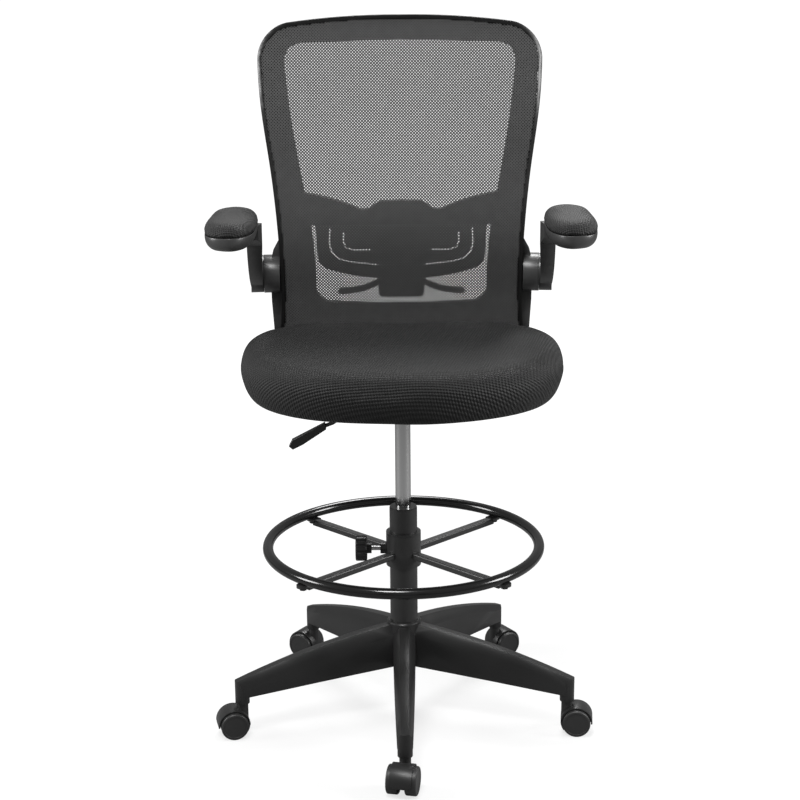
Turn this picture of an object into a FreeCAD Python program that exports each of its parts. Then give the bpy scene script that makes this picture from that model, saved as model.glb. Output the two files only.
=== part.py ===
import FreeCAD, Part
import math
import os

# Drafting chair. Millimetres, +Z up, the sitter faces -Y.
# Origin: on the floor, under the axis of the column.

V = FreeCAD.Vector
origin = V(0, 0, 0)
axis_x = V(1, 0, 0)
axis_y = V(0, 1, 0)
axis_z = V(0, 0, 1)
fit = 0.06                      # radial gap of a shaft in its hole
seat_gap = 0.3                  # gap between pieces that move past each other

# star base and castors
leg_count = 5
first_leg = -90
stem_circle = 307
hub_radius = 31
hub_low = 98
hub_high = 182
boss_radius = 13
boss_low = 61
boss_high = 82
socket_radius = 8
socket_high = 98
stem_radius = 5.5
stem_low = 34
stem_high = 94
wheel_radius = 25
wheel_inner = 6
wheel_outer = 26.2
axle_radius = 3
axle_half = 19.5
trail = 18
hood_radius = 28.6
hood_wall = 2.4
hood_half = 19
hood_low = 8
hood_web = 5
neck_radius = 10
neck_high = 60.4
rim_start = 14.5                # the fender's rims end higher than the rest of it
rim_low = 24
castor_turns = (-12, 12, -22, 22, -4)   # how far each castor has swivelled from its leg's line

# column
tube_radius = 25
tube_low = 95
tube_taper_radius = 23.6
tube_taper_high = 184
tube_high = 397
tube_bore = 21.9
tube_floor = 98
bush_low = 300
bush_flange = 2.5
cylinder_radius = 14
cylinder_low = 292
cylinder_straight = 565
cylinder_high = 598
cylinder_tip_radius = 13.3
cylinder_bore = 11.6
bore_high = 585
rod_radius = 5
rod_low = 87
piston_low = 309
piston_high = 321
race_radius = 14
ball_radius = 2
ball_circle = 10
ball_count = 8
pin_radius = 4
pin_low = 574
pin_high = 604

# foot ring
ring_radius = 245
ring_tube = 9.5
ring_wall = 1.8
ring_z = 327
hub_collar_radius = 31.5
collar_low = 289
collar_high = 348.7
sleeve_radius = 28.5
sleeve_flange_high = 352
spoke_width = 16
spoke_height = 12
spoke_tab = 5
tab_inner = 232
tab_radius = 10
ring_bolt_radius = 3
knob_z = 319
knob_near = 66
knob_far = 87
knob_radius = 23
knob_ribs = 12
clamp_radius = 4

# seat
seat_centre_y = -35
cushion_low = 619
plate_top = 617
plate_sheet = 2.5
board_top = 629
channel_half = 45
channel_front = -70
channel_back = 90
channel_low = 577.5
lever_z = 608
lever_pivot_x = -24
lever_radius = 3.5

# back: (height, depth of the front face on the centre line)
back_profile = ((630, 194), (690, 188), (760, 175), (830, 165), (900, 168),
                (1000, 188), (1100, 212), (1260, 259))
back_bend = 1560                # radius of the back in plan
back_depth = 18
back_low = 662
back_top = 1251.5
lip_width = 6
lip_height = 4

# arms
arm_y = 178
arm_z = 792
arm_toe = 5                     # degrees that each arm's hinge pin leans forward
drum_radius = 35
drum_near = 224
drum_far = 253
boot_radius = 34
boot_far = 277
pad_x = 289.5
pad_y = -28
pad_half_width = 42
pad_half_length = 107
shell_low = 888
shell_high = 911
pad_low = 911.3


# ---- small helpers ----

def box(x, y, z):
    """A box from three (low, high) pairs."""
    size = [high - low for low, high in (x, y, z)]
    return Part.makeBox(size[0], size[1], size[2], V(x[0], y[0], z[0]))


def post(radius, low, high, x=0, y=0):
    """An upright cylinder."""
    return Part.makeCylinder(radius, high - low, V(x, y, low))


def rod_along(direction, radius, start, length):
    """A cylinder along any direction."""
    return Part.makeCylinder(radius, length, start, direction)


def tube(inner, outer, low, high):
    return post(outer, low, high).cut(post(inner, low - 1, high + 1))


def joined(first, *others):
    """One solid from pieces that overlap."""
    return first.fuse(list(others)).removeSplitter()


def turned(shape, angle, about=axis_z, centre=origin):
    copy = shape.copy()
    copy.rotate(centre, about, angle)
    return copy


def mirrored(shape):
    return shape.mirror(origin, axis_x)


def smooth_loop(points, z):
    """A smooth closed level outline through points given for x >= 0, and their mirror images."""
    left = [(-x, y) for x, y in reversed(points) if x > 0]
    curve = Part.BSplineCurve()
    curve.interpolate(Points=[V(x, y, z) for x, y in points + left], PeriodicFlag=True)
    return Part.Wire(curve.toShape())


def prism(wire, height):
    return Part.Face(wire).extrude(V(0, 0, height))


def save(shapes):
    os.makedirs("parts", exist_ok=True)
    for name, shape in shapes.items():
        shape.exportStep("parts/" + name + ".step")


# ---- star base and castors ----

def leg_section(distance, half_width, half_top, low, shoulder, top):
    corners = [(-half_width, low), (-half_width, shoulder), (-half_top, top),
               (half_top, top), (half_width, shoulder), (half_width, low)]
    return Part.makePolygon([V(distance, y, z) for y, z in corners + corners[:1]])


def leg():
    """One leg along +X: tall at the hub, low and round-ended over the castor."""
    near = leg_section(12, 20.5, 8.5, 99, 158, 178)
    middle = leg_section(168, 17.5, 8, 86.5, 132.5, 149.5)
    far = leg_section(stem_circle + boss_radius + 2, boss_radius, 7, 72, 92, 103)
    blade = Part.makeLoft([near, middle, far], True)
    plan = box((0, stem_circle), (-40, 40), (0, 200)).fuse(
        post(boss_radius, 0, 200, stem_circle))
    return joined(blade.common(plan), post(boss_radius, boss_low, boss_high, stem_circle))


def column_taper():
    """The outside of the stand tube where it sits in the hub."""
    return Part.makeCone(tube_taper_radius, tube_radius, tube_taper_high - tube_low,
                         V(0, 0, tube_low))


def star_base():
    hub = post(hub_radius, hub_low, hub_high)
    rim = [e for e in hub.Edges if e.BoundBox.ZMin > hub_high - 1 and e.Closed]
    hub = hub.makeChamfer(2.5, rim)
    base = joined(hub, *[turned(leg(), angle) for angle in leg_angles()])
    for angle in leg_angles():
        base = base.cut(turned(post(socket_radius, 0, socket_high, stem_circle), angle))
    return base.cut(column_taper())


def leg_angles():
    return [first_leg + 360 / leg_count * n for n in range(leg_count)]


def castor_sockets():
    sleeve = tube(stem_radius + fit, socket_radius, boss_low + 1, socket_high)
    sleeve.translate(V(stem_circle, 0, 0))
    return Part.makeCompound([turned(sleeve, angle) for angle in leg_angles()])


def across(radius, y_low, y_high):
    """A cylinder along Y on the castor's axle line, in the castor's own place."""
    return rod_along(axis_y, radius, V(trail, y_low, wheel_radius), y_high - y_low)


def castor_hood():
    """Fender over both wheels, with the web between them and the neck of the stem."""
    outside = across(hood_radius, -hood_half, hood_half)
    wheel_space = across(hood_radius - hood_wall, -hood_half - 1, -hood_web)
    other_space = across(hood_radius - hood_wall, hood_web, hood_half + 1)
    below_floor_line = box((-60, 80), (-40, 40), (-10, hood_low))
    open_back = box((trail, 80), (-40, 40), (-10, wheel_radius - 4))
    neck = post(neck_radius, 30, neck_high)
    neck = neck.cut(wheel_space).cut(other_space)
    hood = joined(outside.cut(wheel_space).cut(other_space), neck)
    hood = hood.cut(below_floor_line).cut(open_back)
    for low, high in ((-40, -rim_start), (rim_start, 40)):
        hood = hood.cut(box((-60, 80), (low, high), (-10, rim_low)))
    hood = hood.cut(across(axle_radius, -10, 10))
    return hood.cut(post(stem_radius, stem_low, 100))


def castor_pins():
    stem = post(stem_radius, stem_low, stem_high)
    return Part.makeCompound([stem, across(axle_radius, -axle_half, axle_half)])


def castor_wheel():
    """Wheel on the +Y side: tyre with rounded edges and a dished disc."""
    wheel = across(wheel_radius, wheel_inner, wheel_outer)
    rims = [e for e in wheel.Edges if e.Closed]
    wheel = wheel.makeFillet(3, rims)
    wheel = wheel.cut(across(wheel_radius - 5, wheel_outer - 0.8, wheel_outer + 1))
    return wheel.cut(across(axle_radius + fit, 0, axle_half + seat_gap))


def castors():
    pieces = {"hood": castor_hood(), "pins": castor_pins(), "wheel_left": castor_wheel()}
    pieces["wheel_right"] = castor_wheel().mirror(origin, axis_y)
    placed = {}
    for number, angle in enumerate(leg_angles(), 1):
        for name, shape in pieces.items():
            copy = turned(shape, castor_turns[number - 1])
            copy.translate(V(stem_circle, 0, 0))
            placed["castor%d_%s" % (number, name)] = turned(copy, angle)
    return placed


# ---- column ----

def stand_tube():
    outside = joined(column_taper(), post(tube_radius, tube_taper_high, tube_high))
    return outside.cut(post(tube_bore, tube_floor, 500)).cut(post(rod_radius + fit, 0, 200))


def guide_bush():
    body = post(tube_bore - 0.05, bush_low, tube_high)
    flange = post(tube_radius - 1, tube_high, tube_high + bush_flange)
    return joined(body, flange).cut(post(cylinder_radius + fit, 200, 500))


def thrust_bearing():
    """Two races and the balls between them, on the floor of the stand tube."""
    lower = tube(rod_radius + 0.5, race_radius, tube_floor, tube_floor + ball_radius)
    upper_low = tube_floor + 3 * ball_radius
    upper = tube(rod_radius + 0.5, race_radius, upper_low, upper_low + ball_radius)
    balls = []
    for n in range(ball_count):
        angle = 2 * math.pi * n / ball_count
        place = V(ball_circle * math.cos(angle), ball_circle * math.sin(angle),
                  tube_floor + 2 * ball_radius)
        balls.append(Part.makeSphere(ball_radius, place))
    return Part.makeCompound([lower, upper] + balls)


def rubber_bumper():
    return tube(8.6, 17, tube_floor + 4 * ball_radius, 130)


def clip_groove():
    return tube(4.2, 12, 92, 94)


def piston_rod():
    shoulder_low = tube_floor + 4 * ball_radius + 0.1
    rod = joined(post(rod_radius, rod_low, piston_high), post(8, shoulder_low, 111),
                 post(cylinder_bore - 0.2, piston_low, piston_high))
    return rod.cut(clip_groove())


def retaining_clip():
    ring = tube(4.25, 9, 92.2, 93.8)
    return ring.cut(box((0, 12), (-3, 3), (90, 96)))


def cylinder_outside():
    straight = post(cylinder_radius, cylinder_low, cylinder_straight)
    taper = Part.makeCone(cylinder_radius, cylinder_tip_radius,
                          cylinder_high - cylinder_straight, V(0, 0, cylinder_straight))
    return joined(straight, taper)


def gas_cylinder():
    inside = joined(post(cylinder_bore, 200, bore_high), post(pin_radius + fit, 500, 620))
    return cylinder_outside().cut(inside)


def rod_guide():
    return tube(rod_radius + fit, cylinder_bore - 0.05, cylinder_low, 305)


def release_pin():
    return post(pin_radius, pin_low, pin_high)


# ---- foot ring ----

def ring_sleeve():
    body = post(sleeve_radius, collar_low, collar_high + seat_gap)
    flange = post(hub_collar_radius, collar_high + seat_gap, sleeve_flange_high)
    return joined(body, flange).cut(post(tube_radius + fit, 200, 400))


def ring_hub():
    """Collar round the sleeve, with the threaded boss of the clamp screw on -X."""
    collar = post(hub_collar_radius, collar_low, collar_high)
    boss = rod_along(V(-1, 0, 0), 10, V(-20, 0, knob_z), 22)
    hub = joined(collar, boss).cut(post(sleeve_radius + fit, 200, 400))
    return hub.cut(rod_along(V(-1, 0, 0), clamp_radius + fit, V(-20, 0, knob_z), 40))


def spoke_angles():
    return [45 + 90 * n for n in range(4)]


def ring_spokes():
    """Four bars welded to the collar, each with a flattened end under the ring."""
    top = ring_z - ring_tube
    bar = box((20, tab_inner + 4), (-spoke_width / 2, spoke_width / 2),
              (top - spoke_height, top))
    long_edges = [e for e in bar.Edges if e.BoundBox.XLength > 100]
    bar = bar.makeFillet(3, long_edges)
    tab = box((tab_inner, ring_radius + 2), (-tab_radius, tab_radius), (top - spoke_tab, top))
    tip = post(tab_radius, top - spoke_tab, top, ring_radius + 2)
    spoke = joined(bar, tab, tip).cut(post(hub_collar_radius, 200, 400))
    spoke = spoke.cut(post(ring_bolt_radius + fit, 200, 400, ring_radius))
    return Part.makeCompound([turned(spoke, angle) for angle in spoke_angles()])


def foot_ring():
    """A steel tube bent into a ring, drilled from below for its four bolts."""
    ring = Part.makeTorus(ring_radius, ring_tube, V(0, 0, ring_z))
    ring = ring.cut(Part.makeTorus(ring_radius, ring_tube - ring_wall, V(0, 0, ring_z)))
    for angle in spoke_angles():
        hole = post(ring_bolt_radius + fit, ring_z - 15, ring_z - 2, ring_radius)
        ring = ring.cut(turned(hole, angle))
    return ring


def hex_head(radius, low, high, x=0, y=0):
    points = []
    for n in range(7):
        angle = math.pi / 3 * n
        points.append(V(x + radius * math.cos(angle), y + radius * math.sin(angle), low))
    return prism(Part.makePolygon(points), high - low)


def ring_bolts():
    tab_low = ring_z - ring_tube - spoke_tab
    bolt = joined(hex_head(6.5, tab_low - 5, tab_low, ring_radius),
                  post(ring_bolt_radius, tab_low - 1, ring_z - 3, ring_radius))
    return Part.makeCompound([turned(bolt, angle) for angle in spoke_angles()])


def clamp_tip():
    return rod_along(V(-1, 0, 0), clamp_radius, V(-sleeve_radius - 0.1, 0, knob_z), 5.5)


def clamp_screw():
    start = -sleeve_radius - 5.7
    return rod_along(V(-1, 0, 0), clamp_radius, V(start, 0, knob_z), knob_far - 6 + start)


def clamp_knob():
    """Ribbed hand knob with a collar, on the outer end of the screw."""
    knob = rod_along(V(-1, 0, 0), knob_radius, V(-knob_near, 0, knob_z), knob_far - knob_near)
    rims = [e for e in knob.Edges if e.Closed]
    knob = knob.makeFillet(3, rims)
    groove = rod_along(V(-1, 0, 0), 3.2, V(-knob_near + 5, knob_radius + 0.8, knob_z), 40)
    for n in range(knob_ribs):
        cutter = turned(groove, 360 / knob_ribs * n, axis_x, V(0, 0, knob_z))
        knob = knob.cut(cutter)
    collar = rod_along(V(-1, 0, 0), 9.5, V(-58, 0, knob_z), knob_near - 57)
    knob = joined(knob, collar)
    return knob.cut(rod_along(V(-1, 0, 0), clamp_radius, V(-30, 0, knob_z), knob_far - 36))


# ---- seat ----

def seat_outline(scale, z):
    """Outline of the seat seen from above, with a rounded front and narrower back."""
    points = [(0, -252), (150, -227), (253, -140), (281, -22), (267, 100), (215, 156), (0, 170)]
    return smooth_loop([(x * scale, (y - seat_centre_y) * scale + seat_centre_y)
                        for x, y in points], z)


def seat_cushion():
    sections = ((0.92, cushion_low), (0.98, 638), (1.0, 662), (0.995, 684), (0.96, 698),
                (0.88, 703))
    cushion = Part.makeLoft([seat_outline(scale, z) for scale, z in sections], True)
    return cushion.cut(prism(seat_outline(0.842, 600), board_top - 600))


def seat_board():
    board = prism(seat_outline(0.82, plate_top), board_top - plate_top)
    for x, y in seat_bolt_places():
        board = board.cut(post(3 + fit, 600, 627, x, y))
    return board


def seat_shell():
    """Thin plastic pan under the board, open in the middle for the seat plate."""
    bottom = plate_top - plate_sheet
    pan = prism(seat_outline(0.84, bottom), 9)
    pan = pan.cut(prism(seat_outline(0.822, plate_top), 20))
    return pan.cut(box((-106, 106), (-86, 106), (600, 640)))


def seat_bolt_places():
    return [(x, y) for x in (-88, 88) for y in (-65, 85)]


def seat_bolts():
    top = plate_top - plate_sheet
    return Part.makeCompound([
        joined(hex_head(6.5, top - 5, top, x, y), post(3, top - 1, 626, x, y))
        for x, y in seat_bolt_places()])


def seat_plate():
    """Pressed steel channel with a top sheet, a taper socket and the lever's lugs."""
    top = plate_top - plate_sheet
    sheet = box((-105, 105), (-85, 105), (top, plate_top))
    channel = box((-channel_half, channel_half), (channel_front, channel_back),
                  (channel_low, top))
    inner = channel_half - plate_sheet
    channel = channel.cut(box((-inner, inner), (channel_front + plate_sheet, channel_back + 1),
                              (channel_low + plate_sheet, top)))
    socket = Part.makeCone(19, 17, cylinder_high - 4 - 566, V(0, 0, 566))
    pieces = [sheet, channel.cut(post(15, 500, 620)), socket]
    for y in (-12, 9.5):
        pieces.append(box((lever_pivot_x - 6, lever_pivot_x + 5), (y, y + 2.5), (600, top)))
    plate = joined(*pieces).cut(cylinder_outside())
    plate = plate.cut(box((-50, -40), (-7, 7), (592, 612)))
    plate = plate.cut(rod_along(axis_y, 3 + fit, V(lever_pivot_x, -20, lever_z), 40))
    for x, y in seat_bolt_places():
        plate = plate.cut(post(3 + fit, 600, 640, x, y))
    for x in (-22, 22):
        plate = plate.cut(post(3 + fit, 600, 640, x, 72))
    return plate


def lever_path():
    """Centre line of the lever rod, from over the release pin out and down to the grip."""
    return [V(4, 0, lever_z), V(-34, 0, lever_z), V(-92, 0, 579), V(-124, 0, 556),
            V(-150, 0, 546)]


def lever_rod():
    points = lever_path()
    pieces = []
    for start, end in zip(points, points[1:]):
        pieces.append(rod_along(end - start, lever_radius, start, (end - start).Length))
        pieces.append(Part.makeSphere(lever_radius, end))
    pieces.append(rod_along(axis_y, 3, V(lever_pivot_x, -12, lever_z), 24))
    return joined(*pieces)


def lever_grip():
    """Flat plastic paddle, wider at its end, with the rod's end held inside."""
    side = Part.makePolygon([V(-138, 0, 557), V(-197, 0, 526), V(-203, 0, 514),
                             V(-196, 0, 508), V(-178, 0, 517), V(-136, 0, 545),
                             V(-138, 0, 557)])
    grip = Part.Face(side).extrude(V(0, 14, 0))
    grip.translate(V(0, -7, 0))
    grip = grip.makeFillet(2, [e for e in grip.Edges if e.BoundBox.YLength < 1])
    return grip.cut(lever_rod())


# ---- back ----

def back_slab(front, rear):
    """The bent sheet between two depths behind the back's front face."""
    sections = []
    for z, y in back_profile:
        sag = 300 * 300 / (2 * back_bend)
        near = Part.Arc(V(-300, y - sag + front, z), V(0, y + front, z),
                        V(300, y - sag + front, z)).toShape()
        far = Part.Arc(V(-300, y - sag + rear, z), V(0, y + rear, z),
                       V(300, y - sag + rear, z)).toShape()
        ends = [Part.makeLine(V(side * 300, y - sag + front, z), V(side * 300, y - sag + rear, z))
                for side in (-1, 1)]
        sections.append(Part.Wire(Part.__sortEdges__([near, far] + ends)))
    return Part.makeLoft(sections, True)


def front_prism(edges):
    """Extrude half an outline in the X-Z plane, and its mirror image, through the back."""
    other = [mirrored(edge) for edge in edges]
    wire = Part.Wire(Part.__sortEdges__(edges + other))
    face = Part.Face(wire)
    face.translate(V(0, 100, 0))
    return face.extrude(V(0, 250, 0))


def line(a, b):
    return Part.makeLine(V(a[0], 0, a[1]), V(b[0], 0, b[1]))


def arc(a, b, c):
    return Part.Arc(V(a[0], 0, a[1]), V(b[0], 0, b[1]), V(c[0], 0, c[1])).toShape()


def spline(*points):
    curve = Part.BSplineCurve()
    curve.interpolate([V(x, 0, z) for x, z in points])
    return curve.toShape()


def back_outline(inset):
    """Outside of the back: waisted below, wider above, with large round top corners."""
    low, top = back_low + inset, back_top - inset
    return front_prism([
        line((0, low), (192, low)),
        arc((192, low), (215 - inset, 672 + inset * 0.5), (224 - inset, 694)),
        spline((224 - inset, 694), (222 - inset, 850), (235 - inset, 984), (255 - inset, 1131),
               (258 - inset, 1177)),
        arc((258 - inset, 1177), (246 - inset, 1213 - inset * 0.7), (206 - inset, 1239 - inset)),
        spline((206 - inset, 1239 - inset), (110, 1248.5 - inset), (0, top))])


def upper_window():
    """Opening above the cross member, whose lower edge has a dip and a rise."""
    return front_prism([
        line((0, 1208), (176, 1203)),
        arc((176, 1203), (202, 1193), (211, 1170)),
        spline((211, 1170), (202, 1100), (175, 941)),
        spline((175, 941), (130, 931), (84, 915)),
        arc((84, 915), (64, 910), (48, 918)),
        line((48, 918), (38, 924)),
        line((38, 924), (0, 926))])


def lower_window():
    return front_prism([
        line((0, 884), (164, 884)),
        spline((164, 884), (159, 830), (157, 768)),
        arc((157, 768), (150, 748), (130, 738)),
        spline((130, 738), (70, 734), (0, 733))])


def back_frame():
    """Moulded ring with a cross member; a raised lip runs round its front edge."""
    ring = back_slab(0, back_depth).common(back_outline(0))
    ring = ring.cut(upper_window()).cut(lower_window())
    lip = back_slab(-lip_height, 1).common(back_outline(0)).cut(back_outline(lip_width))
    frame = joined(ring, lip)
    for x, z in back_bolt_places():
        frame = frame.cut(rod_along(axis_y, 3 + fit, V(x, 194, z), 40))
    for side in (-1, 1):
        for z in arm_bolt_heights():
            frame = frame.cut(rod_along(axis_y, 3 + fit, V(side * arm_bolt_x, 160, z), 60))
    return frame


def back_mesh():
    return back_slab(-2, -0.3).common(back_outline(lip_width + 2))


def bar_along(points, width):
    """Flat bar of constant width, round at each point, through the back in Y."""
    pieces = [rod_along(axis_y, width / 2, V(x, 100, z), 250) for x, z in points]
    for (x0, z0), (x1, z1) in zip(points, points[1:]):
        length = math.hypot(x1 - x0, z1 - z0)
        piece = box((0, length), (100, 350), (-width / 2, width / 2))
        angle = -math.degrees(math.atan2(z1 - z0, x1 - x0))
        piece = turned(piece, angle, axis_y)
        piece.translate(V(x0, 0, z0))
        pieces.append(piece)
    return joined(*pieces)


def lumbar_plate():
    """Slotted plate behind the mesh, with a middle block and two curved springs below."""
    plate = front_prism([
        line((0, 904), (158, 904)),
        spline((158, 904), (155, 855), (153, 822)),
        arc((153, 822), (148, 808), (136, 799)),
        spline((136, 799), (84, 785), (0, 779))])
    outer_slot = [(130, 872), (132, 848), (128, 830), (117, 818), (94, 811), (44, 805)]
    inner_slot = [(105, 864), (106, 848), (101, 838), (87, 833), (58, 833)]
    spring = [(30, 778), (48, 769), (70, 759.5), (95, 755.5), (112, 755)]
    block = box((-42, 42), (100, 350), (742, 800))
    corners = [e for e in block.Edges if e.BoundBox.YLength > 100 and e.BoundBox.ZMax < 760]
    block = block.makeFillet(9, corners)
    springs = bar_along(spring, 11)
    shape = joined(plate, block, springs, mirrored(springs))
    for path in (outer_slot, inner_slot):
        slot = bar_along(path, 3.6)
        shape = shape.cut(slot).cut(mirrored(slot))
    return back_slab(back_depth, back_depth + 8).common(shape)


def back_bolt_places():
    return [(-20, 700), (20, 700)]


def back_bar():
    """Flat bar from the seat plate, back under the seat and up behind the bottom rail."""
    profile = [V(0, 38, 604.5), V(0, 38, 614.2), V(0, 188, 614.2), V(0, 196, 622),
               V(0, 196, 727), V(0, 219, 727), V(0, 219, 622), V(0, 201, 604.5),
               V(0, 38, 604.5)]
    bar = Part.Face(Part.makePolygon(profile)).extrude(V(70, 0, 0))
    bar.translate(V(-35, 0, 0))
    bar = bar.cut(back_slab(-20, back_depth))
    for x in (-22, 22):
        bar = bar.cut(post(3 + fit, 590, 640, x, 72))
    for x, z in back_bolt_places():
        bar = bar.cut(rod_along(axis_y, 3 + fit, V(x, 180, z), 60))
    return bar


def back_bolts():
    bolts = []
    for x in (-22, 22):
        bolts.append(joined(hex_head(6.5, 599.5, 604.5, x, 72), post(3, 604, 617, x, 72)))
    for x, z in back_bolt_places():
        head = rod_along(axis_y, 6, V(x, 219, z), 4.5)
        bolts.append(joined(head, rod_along(axis_y, 3, V(x, 196, z), 24)))
    return Part.makeCompound(bolts)


# ---- arms, drawn on the +X side ----

arm_pivot = V(drum_near, arm_y, arm_z)
arm_bolt_x = 206


def arm_bolt_heights():
    return (762, 836)


def hinge_disc(radius, near, far):
    """A disc on the arm's hinge line, which leans forward as it goes outwards."""
    disc = rod_along(axis_x, radius, V(near, arm_y, arm_z), far - near)
    return turned(disc, -arm_toe, axis_z, arm_pivot)


def arm_bracket():
    """Tall plate on the back of the frame, with the drum that carries the arm."""
    outline = Part.makePolygon([V(192, 0, 652), V(236, 0, 652), V(240, 0, 740),
                                V(240, 0, 812), V(234, 0, 838), V(224, 0, 856),
                                V(192, 0, 856), V(192, 0, 652)])
    plate = Part.Face(outline)
    plate.translate(V(0, 100, 0))
    plate = plate.extrude(V(0, 250, 0)).common(back_slab(back_depth, back_depth + 11))
    drum = hinge_disc(drum_radius, drum_near - 8, drum_far)
    drum = drum.cut(back_slab(-lip_height, back_depth).common(back_outline(-0.4)))
    drum = drum.cut(box((0, drum_near - 2), (0, 300), (600, 900)))
    bracket = joined(plate, drum)
    for z in arm_bolt_heights():
        bracket = bracket.cut(rod_along(axis_y, 3 + fit, V(arm_bolt_x, 150, z), 80))
    return bracket


def arm_bolts():
    bolts = []
    for z, rear in zip(arm_bolt_heights(), (191.5, 181.5)):
        head = rod_along(axis_y, 6, V(arm_bolt_x, rear, z), 4.5)
        bolts.append(joined(head, rod_along(axis_y, 3, V(arm_bolt_x, rear - 19.5, z), 20.5)))
    return Part.makeCompound(bolts + [mirrored(bolt) for bolt in bolts])


def beam_section(y, x, z):
    corners = [(x[0], z[0]), (x[1], z[0]), (x[1], z[1]), (x[0], z[1]), (x[0], z[0])]
    return Part.makePolygon([V(a, y, b) for a, b in corners])


def arm_beam():
    """Round boot on the drum and the bar that rises forward to the pad's inner side."""
    boot = hinge_disc(boot_radius, drum_far + seat_gap, boot_far)
    sections = [beam_section(188, (255, 274), (759.5, 812)),
                beam_section(142, (253, 275), (778, 852)),
                beam_section(74, (246, 274), (862, 903)),
                beam_section(40, (250, 276), (878, 903))]
    bar = Part.makeLoft(sections[:3], True)
    foot = Part.makeLoft(sections[2:], True)
    bar = bar.cut(hinge_disc(80, drum_far - 60, drum_far + seat_gap))
    return joined(boot, bar, foot)


def pad_outline(scale, z):
    points = [(0, -1), (0.72, -0.84), (1, -0.45), (1, 0.42), (0.74, 0.85), (0, 1)]
    wire = smooth_loop([(x * pad_half_width * scale, y * (pad_half_length - pad_half_width * (1 - scale)))
                        for x, y in points], z)
    wire.translate(V(pad_x, pad_y, 0))
    return wire


def arm_shell():
    sections = ((0.72, shell_low), (0.9, 895), (0.975, shell_high))
    shell = Part.makeLoft([pad_outline(scale, z) for scale, z in sections], True)
    return shell.cut(arm_beam())


def arm_pad():
    sections = ((0.985, pad_low), (1.0, 916), (0.93, 925), (0.79, 931.5), (0.55, 935))
    return Part.makeLoft([pad_outline(scale, z) for scale, z in sections], True)


def arms():
    pieces = {"arm_bracket": arm_bracket(), "arm_beam": arm_beam(),
              "arm_shell": arm_shell(), "arm_pad": arm_pad()}
    placed = {}
    for name, shape in pieces.items():
        placed[name + "_right"] = shape
        placed[name + "_left"] = mirrored(shape)
    return placed


def chair():
    parts = {
        "star_base": star_base(), "castor_sockets": castor_sockets(),
        "stand_tube": stand_tube(), "guide_bush": guide_bush(),
        "thrust_bearing": thrust_bearing(), "rubber_bumper": rubber_bumper(),
        "piston_rod": piston_rod(), "retaining_clip": retaining_clip(),
        "gas_cylinder": gas_cylinder(), "rod_guide": rod_guide(),
        "release_pin": release_pin(), "ring_bush": ring_sleeve(), "ring_hub": ring_hub(),
        "ring_spokes": ring_spokes(), "foot_ring": foot_ring(), "ring_bolts": ring_bolts(),
        "clamp_tip": clamp_tip(), "clamp_screw": clamp_screw(), "clamp_knob": clamp_knob(),
        "seat_cushion": seat_cushion(), "seat_board": seat_board(),
        "seat_shell": seat_shell(), "seat_bolts": seat_bolts(), "seat_plate": seat_plate(),
        "lever_rod": lever_rod(), "lever_grip": lever_grip(), "back_frame": back_frame(),
        "back_mesh": back_mesh(), "lumbar_plate": lumbar_plate(), "back_bar": back_bar(),
        "back_bolts": back_bolts(), "arm_bolts": arm_bolts()}
    parts.update(castors())
    parts.update(arms())
    return parts


parts = chair()
for name, shape in parts.items():
    print(name, len(shape.Solids), shape.isValid(), round(shape.Volume / 1000, 2))
save(parts)
print(len(parts), "parts")
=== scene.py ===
import math

import bmesh
import bpy
from mathutils import Matrix, Vector
from mathutils.bvhtree import BVHTree


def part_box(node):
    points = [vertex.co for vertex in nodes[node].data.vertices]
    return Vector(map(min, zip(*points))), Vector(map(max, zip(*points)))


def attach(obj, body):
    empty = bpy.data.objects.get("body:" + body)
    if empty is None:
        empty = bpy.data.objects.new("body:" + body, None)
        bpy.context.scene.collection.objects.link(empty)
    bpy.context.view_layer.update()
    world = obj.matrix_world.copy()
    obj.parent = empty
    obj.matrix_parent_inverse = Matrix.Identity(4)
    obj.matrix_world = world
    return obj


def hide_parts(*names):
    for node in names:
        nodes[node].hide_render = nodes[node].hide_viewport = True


# Drafting chair: mesh back, padded seat and arms, foot ring, castor base.
# Metres, the sitter faces -Y, the origin is on the floor under the column.

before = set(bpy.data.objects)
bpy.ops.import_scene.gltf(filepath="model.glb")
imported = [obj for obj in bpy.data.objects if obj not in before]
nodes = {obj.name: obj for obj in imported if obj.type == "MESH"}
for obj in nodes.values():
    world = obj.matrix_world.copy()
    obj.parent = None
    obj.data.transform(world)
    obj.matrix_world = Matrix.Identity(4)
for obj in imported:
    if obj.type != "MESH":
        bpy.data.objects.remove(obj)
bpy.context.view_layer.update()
scene = bpy.context.scene
print("frame loaded:", len(nodes), "nodes")


view = {"place": (0.0, -2.944, 1.4046), "pitch": 15.34, "roll": -0.45, "lens": 77.53,
        "sensor": 36, "shift": -0.003}


def makeCamera():
    data = bpy.data.cameras.new("camera")
    data.lens = view["lens"]
    data.sensor_width = view["sensor"]
    data.shift_x = view["shift"]
    camera = bpy.data.objects.new("camera", data)
    tilt = Matrix.Rotation(math.radians(90 - view["pitch"]), 4, "X")
    roll = Matrix.Rotation(math.radians(view["roll"]), 4, "Z")
    camera.matrix_world = Matrix.Translation(view["place"]) @ tilt @ roll
    scene.collection.objects.link(camera)
    scene.camera = camera


studio = {"world": 0.26, "backdrop": 1.0, "floorSize": 60.0, "floorTone": 0.22,
          "glow": (0.73, 1.02), "glowReach": (0.7, 3.0), "aim": (0, 0, 0.6),
          "lamps": (("key", (-0.4, -1.5, 3.2), 1.0, 74), ("back", (0.3, 1.7, 2.9), 1.3, 70),
                    ("leftStrip", (-2.0, -0.3, 1.2), 0.8, 30),
                    ("rightStrip", (2.0, -0.3, 1.2), 0.8, 34)),
          "flags": ((-0.55, -2.3, 0.9, 0.34), (0.55, -2.3, 0.9, 0.34)), "flagCentre": 0.55}


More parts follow.
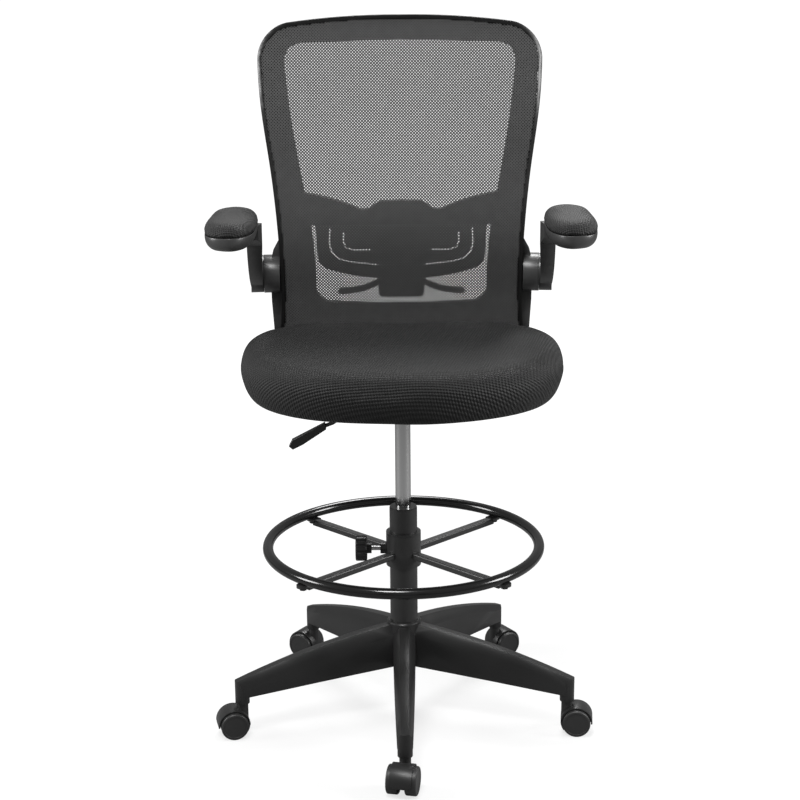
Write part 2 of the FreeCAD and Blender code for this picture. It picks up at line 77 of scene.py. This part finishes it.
def makeStudio():
    scene.view_settings.view_transform = "Standard"
    # the surroundings light the chair softly but look white to the camera
    world = bpy.data.worlds.new("studio")
    world.use_nodes = True
    tree = world.node_tree
    light = tree.nodes["Background"]
    light.inputs["Color"].default_value = (1, 1, 1, 1)
    light.inputs["Strength"].default_value = studio["world"]
    seen = tree.nodes.new("ShaderNodeBackground")
    seen.inputs["Color"].default_value = (1, 1, 1, 1)
    seen.inputs["Strength"].default_value = studio["backdrop"]
    path = tree.nodes.new("ShaderNodeLightPath")
    mix = tree.nodes.new("ShaderNodeMixShader")
    tree.links.new(path.outputs["Is Camera Ray"], mix.inputs["Fac"])
    tree.links.new(light.outputs[0], mix.inputs[1])
    tree.links.new(seen.outputs[0], mix.inputs[2])
    tree.links.new(mix.outputs[0], tree.nodes["World Output"].inputs["Surface"])
    scene.world = world
    for name, place, size, power in studio["lamps"]:
        data = bpy.data.lights.new(name, "AREA")
        data.shape = "DISK"
        data.size = size
        data.energy = power
        lamp = bpy.data.objects.new(name, data)
        aim = Vector(studio["aim"]) - Vector(place)
        turned = aim.to_track_quat("-Z", "Y").to_matrix().to_4x4()
        lamp.matrix_world = Matrix.Translation(place) @ turned
        scene.collection.objects.link(lamp)
    bm = bmesh.new()
    bmesh.ops.create_grid(bm, x_segments=1, y_segments=1, size=studio["floorSize"])
    floor = asPiece(bm, "floor")
    # the floor glows to the camera alone, as painted light, and a little less near the chair, a
    # painted shade round it, so that its shadow shows
    floorPaint = bpy.data.materials.new("floorPaint")
    floorPaint.use_nodes = True
    tree = floorPaint.node_tree
    shader = tree.nodes["Principled BSDF"]
    shader.inputs["Base Color"].default_value = (studio["floorTone"],) * 3 + (1,)
    shader.inputs["Roughness"].default_value = 0.9
    shader.inputs["Specular IOR Level"].default_value = 0.0
    shader.inputs["Emission Color"].default_value = (1, 1, 1, 1)
    distance = tree.nodes.new("ShaderNodeVectorMath")
    distance.operation = "LENGTH"
    tree.links.new(tree.nodes.new("ShaderNodeTexCoord").outputs["Object"], distance.inputs[0])
    # painted light: floor emission seen by the camera, dimmer near the chair as painted shade
    glow = mapped(tree, distance.outputs["Value"], *studio["glow"], *studio["glowReach"])
    toCamera = tree.nodes.new("ShaderNodeMath")
    toCamera.operation = "MULTIPLY"
    tree.links.new(glow, toCamera.inputs[0])
    ray = tree.nodes.new("ShaderNodeLightPath")
    tree.links.new(ray.outputs["Is Camera Ray"], toCamera.inputs[1])
    tree.links.new(toCamera.outputs[0], shader.inputs["Emission Strength"])
    floor.data.materials.append(floorPaint)
    makeFlags()


def makeFlags():
    # black cards in front, out of view, which give the chrome its dark streaks
    flagPaint = bpy.data.materials.new("flagPaint")
    flagPaint.use_nodes = True
    shader = flagPaint.node_tree.nodes["Principled BSDF"]
    shader.inputs["Base Color"].default_value = (0.01, 0.01, 0.01, 1)
    shader.inputs["Roughness"].default_value = 1.0
    for number, (x, y, height, width) in enumerate(studio["flags"], 1):
        bm = bmesh.new()
        bmesh.ops.create_grid(bm, x_segments=1, y_segments=1, size=0.5)
        bmesh.ops.scale(bm, verts=bm.verts, vec=(width, height, 1))
        turnMesh(bm, 90, "X")
        bmesh.ops.translate(bm, verts=bm.verts, vec=(x, y, studio["flagCentre"]))
        flag = asPiece(bm, "flag%d" % number)
        flag.data.materials.append(flagPaint)
        flag.visible_camera = False
        flag.visible_shadow = False
        flag.visible_diffuse = False


def turnMesh(bm, degrees, axis):
    bmesh.ops.rotate(bm, verts=bm.verts, cent=(0, 0, 0),
                     matrix=Matrix.Rotation(math.radians(degrees), 3, axis))


def dress(piece, paint):
    piece.data.materials.clear()
    piece.data.materials.append(paint)


def asPiece(bm, name, smooth=False):
    mesh = bpy.data.meshes.new(name)
    bm.to_mesh(mesh)
    bm.free()
    piece = bpy.data.objects.new(name, mesh)
    scene.collection.objects.link(piece)
    for face in mesh.polygons:
        face.use_smooth = smooth
    return piece


def mergedCopy(node, flatAngle=0.5):
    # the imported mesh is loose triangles: join them and dissolve the flat ones
    bm = bmesh.new()
    bm.from_mesh(nodes[node].data)
    bmesh.ops.remove_doubles(bm, verts=bm.verts, dist=1e-6)
    bmesh.ops.dissolve_limit(bm, angle_limit=math.radians(flatAngle), verts=bm.verts,
                             edges=bm.edges)
    return bm


def softened(node, body, material, width, angle=32, segments=3):
    # the CAD piece with its sharp edges rounded off
    piece = asPiece(mergedCopy(node), node + "Soft", smooth=True)
    piece.data.materials.append(material)
    bevel = piece.modifiers.new("roundedEdges", "BEVEL")
    bevel.width = width
    bevel.segments = segments
    bevel.limit_method = "ANGLE"
    bevel.angle_limit = math.radians(angle)
    bevel.harden_normals = True
    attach(piece, body)
    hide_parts(node)
    return piece


def surfaceTree(node):
    bm = bmesh.new()
    bm.from_mesh(nodes[node].data)
    tree = BVHTree.FromBMesh(bm)
    bm.free()
    return tree


def frontHit(tree, x, z):
    # where a line running straight back from the front first meets the piece
    return tree.ray_cast(Vector((x, -1.0, z)), Vector((0, 1, 0)))[0]


def newGroup(name, inputs, outputs):
    group = bpy.data.node_groups.new(name, "ShaderNodeTree")
    for label, value in inputs:
        socket = group.interface.new_socket(label, in_out="INPUT", socket_type="NodeSocketFloat")
        socket.default_value = value
    for label in outputs:
        group.interface.new_socket(label, in_out="OUTPUT", socket_type="NodeSocketFloat")
    return group, group.nodes.new("NodeGroupInput"), group.nodes.new("NodeGroupOutput")


def mathNode(group, operation, first, second=None):
    node = group.nodes.new("ShaderNodeMath")
    node.operation = operation
    for socket, value in zip(node.inputs, (first, second)):
        if isinstance(value, (int, float)):
            socket.default_value = value
        elif value is not None:
            group.links.new(value, socket)
    return node.outputs[0]


weave = {"directions": ((0.6, 1.0), (-1.0, -0.6)), "mottleScale": 60}   # how y and z slant the ribs


def weaveGroup():
    # crossing diagonal ribs, read from the place on the object so that every side has them
    group, inward, outward = newGroup("weave", [("Ribs per metre", 230), ("Unevenness", 0.25)],
                                      ["Ribs", "Mottle"])
    place = group.nodes.new("ShaderNodeTexCoord").outputs["Object"]
    split = group.nodes.new("ShaderNodeSeparateXYZ")
    group.links.new(place, split.inputs[0])
    x, y, z = split.outputs
    turn = mathNode(group, "MULTIPLY", inward.outputs["Ribs per metre"], 2 * math.pi)
    ribs = []
    for yShare, zShare in weave["directions"]:
        along = mathNode(group, "ADD", x, mathNode(group, "MULTIPLY", y, yShare))
        along = mathNode(group, "ADD", along, mathNode(group, "MULTIPLY", z, zShare))
        ribs.append(mathNode(group, "SINE", mathNode(group, "MULTIPLY", along, turn)))
    crossing = mathNode(group, "MULTIPLY", ribs[0], ribs[1])
    noise = group.nodes.new("ShaderNodeTexNoise")
    noise.inputs["Scale"].default_value = weave["mottleScale"]
    noise.inputs["Detail"].default_value = 4
    group.links.new(place, noise.inputs["Vector"])
    uneven = mathNode(group, "MULTIPLY", noise.outputs["Fac"], inward.outputs["Unevenness"])
    shown = mathNode(group, "ADD", mathNode(group, "MULTIPLY", crossing, 0.5), 0.5)
    group.links.new(mathNode(group, "SUBTRACT", shown, uneven), outward.inputs["Ribs"])
    group.links.new(noise.outputs["Fac"], outward.inputs["Mottle"])
    return group


def grainGroup():
    # fine spark-eroded grain and a slow change of gloss, as on moulded plastic
    group, inward, outward = newGroup("mouldGrain", [("Grain per metre", 900)], ["Grain", "Cloud"])
    place = group.nodes.new("ShaderNodeTexCoord").outputs["Object"]
    for label, scale, detail in (("Grain", None, 3), ("Cloud", 9, 2)):
        noise = group.nodes.new("ShaderNodeTexNoise")
        noise.inputs["Detail"].default_value = detail
        group.links.new(place, noise.inputs["Vector"])
        if scale is None:
            group.links.new(inward.outputs["Grain per metre"], noise.inputs["Scale"])
        else:
            noise.inputs["Scale"].default_value = scale
        group.links.new(noise.outputs["Fac"], outward.inputs[label])
    return group


groups = {"weave": weaveGroup(), "grain": grainGroup()}


def newMaterial(name, roughness, metallic=0.0, specular=0.5, sheen=0.0):
    material = bpy.data.materials.new(name)
    material.use_nodes = True
    shader = material.node_tree.nodes["Principled BSDF"]
    shader.inputs["Roughness"].default_value = roughness
    shader.inputs["Metallic"].default_value = metallic
    shader.inputs["Specular IOR Level"].default_value = specular
    shader.inputs["Sheen Weight"].default_value = sheen
    return material, material.node_tree, shader


def place(tree, kind, **values):
    node = tree.nodes.new("ShaderNodeGroup")
    node.node_tree = groups[kind]
    for label, value in values.items():
        node.inputs[label.replace("_", " ")].default_value = value
    return node


def mapped(tree, value, low, high, fromLow=0.0, fromHigh=1.0):
    node = tree.nodes.new("ShaderNodeMapRange")
    limits = (("From Min", fromLow), ("From Max", fromHigh), ("To Min", low), ("To Max", high))
    for label, number in limits:
        node.inputs[label].default_value = number
    tree.links.new(value, node.inputs["Value"])
    return node.outputs["Result"]


def ramp(tree, value, dark, light):
    node = tree.nodes.new("ShaderNodeMix")
    node.data_type = "RGBA"
    node.inputs["A"].default_value = (*dark, 1)
    node.inputs["B"].default_value = (*light, 1)
    tree.links.new(value, node.inputs["Factor"])
    return node.outputs["Result"]


def bump(tree, shader, height, strength, distance):
    node = tree.nodes.new("ShaderNodeBump")
    node.inputs["Strength"].default_value = strength
    node.inputs["Distance"].default_value = distance
    tree.links.new(height, node.inputs["Height"])
    tree.links.new(node.outputs["Normal"], shader.inputs["Normal"])


def plastic(name, tone, roughness, grain=0.25):
    material, tree, shader = newMaterial(name, roughness)
    node = place(tree, "grain", Grain_per_metre=900)
    tree.links.new(ramp(tree, node.outputs["Cloud"], (tone * 0.85,) * 3, (tone * 1.2,) * 3),
                   shader.inputs["Base Color"])
    tree.links.new(mapped(tree, node.outputs["Cloud"], roughness - 0.06, roughness + 0.06),
                   shader.inputs["Roughness"])
    bump(tree, shader, node.outputs["Grain"], grain, 0.0003)
    return material


def fabric(name, dark, light, ribs, depth, roughness=0.85, specular=0.25):
    material, tree, shader = newMaterial(name, roughness, specular=specular, sheen=0.03)
    node = place(tree, "weave", Ribs_per_metre=ribs, Unevenness=0.35)
    tree.links.new(ramp(tree, node.outputs["Ribs"], (dark,) * 3, (light,) * 3),
                   shader.inputs["Base Color"])
    bump(tree, shader, node.outputs["Ribs"], 0.6, depth)
    return material


def metal(name, tone, roughness, metallic=1.0):
    material, tree, shader = newMaterial(name, roughness, metallic=metallic)
    node = place(tree, "grain", Grain_per_metre=400)
    tree.links.new(ramp(tree, node.outputs["Cloud"], (tone * 0.94,) * 3, (tone,) * 3),
                   shader.inputs["Base Color"])
    tree.links.new(mapped(tree, node.outputs["Cloud"], roughness * 0.8, roughness * 1.2),
                   shader.inputs["Roughness"])
    return material


paints = {
    "base": plastic("baseNylon", 0.014, 0.36),
    "castor": plastic("castorNylon", 0.015, 0.38),
    "wheel": plastic("wheelNylon", 0.024, 0.42),
    "frame": plastic("frameNylon", 0.005, 0.34),
    "plate": plastic("plateNylon", 0.09, 0.4),
    "arm": plastic("armPlastic", 0.045, 0.36, 0.15),
    "knob": plastic("knobPlastic", 0.012, 0.45),
    "bush": plastic("bushPlastic", 0.02, 0.35, 0.1),
    "tube": metal("blackSteel", 0.026, 0.40, 0.0),
    "ring": metal("glossBlackSteel", 0.008, 0.16, 0.0),
    "zinc": metal("zincSteel", 0.55, 0.3),
    "bolt": metal("blackBolt", 0.03, 0.35, 0.6),
    "chrome": metal("chromePlate", 0.62, 0.09),
    "rubber": plastic("bumperRubber", 0.02, 0.8),
    "wood": plastic("seatBoardWood", 0.25, 0.7),
    "seat": fabric("seatFabric", 0.0, 0.021, 105, 0.0024, 0.62, 0.32),
    "pad": fabric("armFabric", 0.0, 0.028, 130, 0.0018, 0.65, 0.35),
    "net": fabric("backMesh", 0.035, 0.11, 500, 0.0002),
}
print("materials ready:", len(paints))


cadPaint = {
    "tube": ("stand_tube", "ring_hub", "ring_spokes", "seat_plate", "back_bar", "lever_rod"),
    "ring": ("foot_ring",),
    "bush": ("guide_bush", "rod_guide", "ring_bush", "clamp_tip", "seat_shell"),
    "zinc": ("castor_sockets", "thrust_bearing", "retaining_clip", "release_pin", "piston_rod",
             "clamp_screw"),
    "bolt": ("ring_bolts", "seat_bolts", "back_bolts", "arm_bolts"),
    "chrome": ("gas_cylinder",),
    "rubber": ("rubber_bumper",),
    "wood": ("seat_board",),
}


def paintCad():
    for paint, names in cadPaint.items():
        for name in names:
            dress(nodes[name], paints[paint])
    for number in range(1, 6):
        dress(nodes["castor%d_pins" % number], paints["zinc"])


def evaluatedMesh(piece):
    graph = bpy.context.evaluated_depsgraph_get()
    return bpy.data.meshes.new_from_object(piece.evaluated_get(graph))


def settle(piece):
    # bakes the modifiers into the mesh and leaves none behind
    mesh = evaluatedMesh(piece)
    piece.modifiers.clear()
    piece.data = mesh


def smoothMesh(piece, times):
    bm = bmesh.new()
    bm.from_mesh(piece.data)
    for _ in range(times):
        bmesh.ops.smooth_vert(bm, verts=bm.verts, factor=0.5, use_axis_x=True, use_axis_y=True,
                              use_axis_z=True)
    bm.to_mesh(piece.data)
    bm.free()


def inflate(piece, settings):
    # foam pushing out against its cover: cloth with air pressure, held at the bottom
    remesh = piece.modifiers.new("remesh", "REMESH")
    remesh.mode = "VOXEL"
    remesh.voxel_size = settings["voxel"]
    settle(piece)
    smoothMesh(piece, settings["relax"])
    before = [v.co.copy() for v in piece.data.vertices]
    held = piece.vertex_groups.new(name="held")
    low = [v.index for v in piece.data.vertices if v.co.z < settings["heldBelow"]]
    held.add(low, 1.0, "REPLACE")
    cloth = piece.modifiers.new("cloth", "CLOTH")
    cloth.settings.quality = 5
    cloth.settings.use_pressure = True
    cloth.settings.uniform_pressure_force = settings["pressure"]
    cloth.settings.effector_weights.gravity = 0
    cloth.settings.vertex_group_mass = "held"
    cloth.point_cache.frame_start = 1
    cloth.point_cache.frame_end = settings["frames"]
    for number in range(1, settings["frames"] + 1):
        scene.frame_set(number)
    settle(piece)
    piece.vertex_groups.clear()
    for vertex, start in zip(piece.data.vertices, before):
        move = vertex.co - start
        if move.length > settings["cap"]:
            vertex.co = start + move * (settings["cap"] / move.length)
    scene.frame_set(1)
    smoothMesh(piece, settings["calm"])


def finishPadded(piece, body, node, paint):
    for face in piece.data.polygons:
        face.use_smooth = True
    dress(piece, paint)
    rounder = piece.modifiers.new("rounder", "SUBSURF")
    rounder.levels = 1
    rounder.render_levels = 1
    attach(piece, body)
    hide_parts(node)


seat = {"voxel": 0.005, "relax": 1, "pressure": 3.0, "frames": 14, "cap": 0.002, "calm": 2,
        "heldBelow": 0.624, "fill": 0.9}


def makeSeat():
    piece = asPiece(mergedCopy("seat_cushion"), "seatCushion")
    inflate(piece, seat)
    finishPadded(piece, "upper", "seat_cushion", paints["seat"])
    print("seat cushion made")


armPad = {"voxel": 0.004, "relax": 2, "pressure": 3.0, "frames": 12, "cap": 0.002, "calm": 2,
          "heldBelow": 0.913, "fill": 0.9}


def makeArmPads():
    for side in ("left", "right"):
        node = "arm_pad_" + side
        piece = asPiece(mergedCopy(node), "armPad_" + side)
        inflate(piece, armPad)
        finishPadded(piece, "arm_" + side, node, paints["pad"])
    print("arm pads made")


net = {"cell": 0.0039, "strand": 0.00108, "thickness": 0.0009, "inFront": 0.0008,
       "cuts": (0.80, 0.94, 1.09)}


def latticeOver(tree, low, high):
    # square cells turned by 45 degrees, kept where the sheet is, seen from the front
    centre = Vector(((low.x + high.x) / 2, 0, (low.z + high.z) / 2))
    span = (high - low).length / 2
    count = int(2 * span / net["cell"])
    bm = bmesh.new()
    bmesh.ops.create_grid(bm, x_segments=count, y_segments=count, size=span)
    turnMesh(bm, 45, "Z")
    turnMesh(bm, 90, "X")
    bmesh.ops.translate(bm, verts=bm.verts, vec=centre)
    backed = {v: frontHit(tree, v.co.x, v.co.z) is not None for v in bm.verts}
    # a cell half over the sheet stays, so that the edge tucks under the lip
    outside = [f for f in bm.faces if sum(backed[v] for v in f.verts) < 2]
    bmesh.ops.delete(bm, geom=outside, context="FACES")
    lone = [v for v in bm.verts if not v.link_faces]
    bmesh.ops.delete(bm, geom=lone, context="VERTS")
    return bm


def makeBackMesh():
    tree = surfaceTree("back_mesh")
    bm = latticeOver(tree, *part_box("back_mesh"))
    hits = {v: frontHit(tree, v.co.x, v.co.z) for v in bm.verts}
    for vertex, hit in hits.items():
        # past the sheet's edge a corner is as deep as the ones beside it
        near = [hit] if hit else [hits[e.other_vert(vertex)] for e in vertex.link_edges]
        depths = [spot.y for spot in near if spot]
        vertex.co.y = sum(depths) / len(depths) - net["inFront"]
    levels = (-math.inf, *net["cuts"], math.inf)
    for number, (low, high) in enumerate(zip(levels, levels[1:]), 1):
        part = bm.copy()
        unwanted = [f for f in part.faces if not low <= f.calc_center_median().z < high]
        bmesh.ops.delete(part, geom=unwanted, context="FACES")
        cells = list(part.faces)
        bmesh.ops.inset_individual(part, faces=cells, thickness=net["strand"], use_even_offset=True)
        bmesh.ops.delete(part, geom=cells, context="FACES")   # leaves the strands round each hole
        bmesh.ops.recalc_face_normals(part, faces=part.faces)
        strands = sum(f.calc_area() for f in part.faces)
        piece = asPiece(part, "backMesh%d" % number)
        wall = piece.modifiers.new("thickness", "SOLIDIFY")
        wall.thickness = net["thickness"]
        wall.offset = 0
        piece.data.materials.append(paints["net"])
        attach(piece, "upper")
        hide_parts("back_mesh")
    bm.free()


roundings = {"star": 0.0016, "hood": 0.0008, "wheel": 0.0005, "frame": 0.0014, "lumbar": 0.0009,
             "knob": 0.0007, "grip": 0.0008, "bracket": 0.0016, "beam": 0.002, "shell": 0.0012}


def makeHardPieces():
    softened("star_base", "base", paints["base"], roundings["star"])
    for number in range(1, 6):
        castor = "castor%d" % number
        softened(castor + "_hood", castor, paints["castor"], roundings["hood"])
        for side in ("left", "right"):
            softened(castor + "_wheel_" + side, castor + "_wheel_" + side + "_body",
                     paints["wheel"], roundings["wheel"])
    softened("back_frame", "upper", paints["frame"], roundings["frame"])
    softened("lumbar_plate", "upper", paints["plate"], roundings["lumbar"])
    softened("clamp_knob", "clamp", paints["knob"], roundings["knob"])
    softened("lever_grip", "lever", paints["knob"], roundings["grip"])
    for side in ("left", "right"):
        softened("arm_bracket_" + side, "upper", paints["arm"],
                 roundings["bracket"])
        softened("arm_beam_" + side, "arm_" + side, paints["arm"],
                 roundings["beam"])
        softened("arm_shell_" + side, "arm_" + side, paints["arm"],
                 roundings["shell"])
    print("hard pieces made")


makeCamera()
makeStudio()
paintCad()
makeHardPieces()
makeSeat()
makeArmPads()
makeBackMesh()
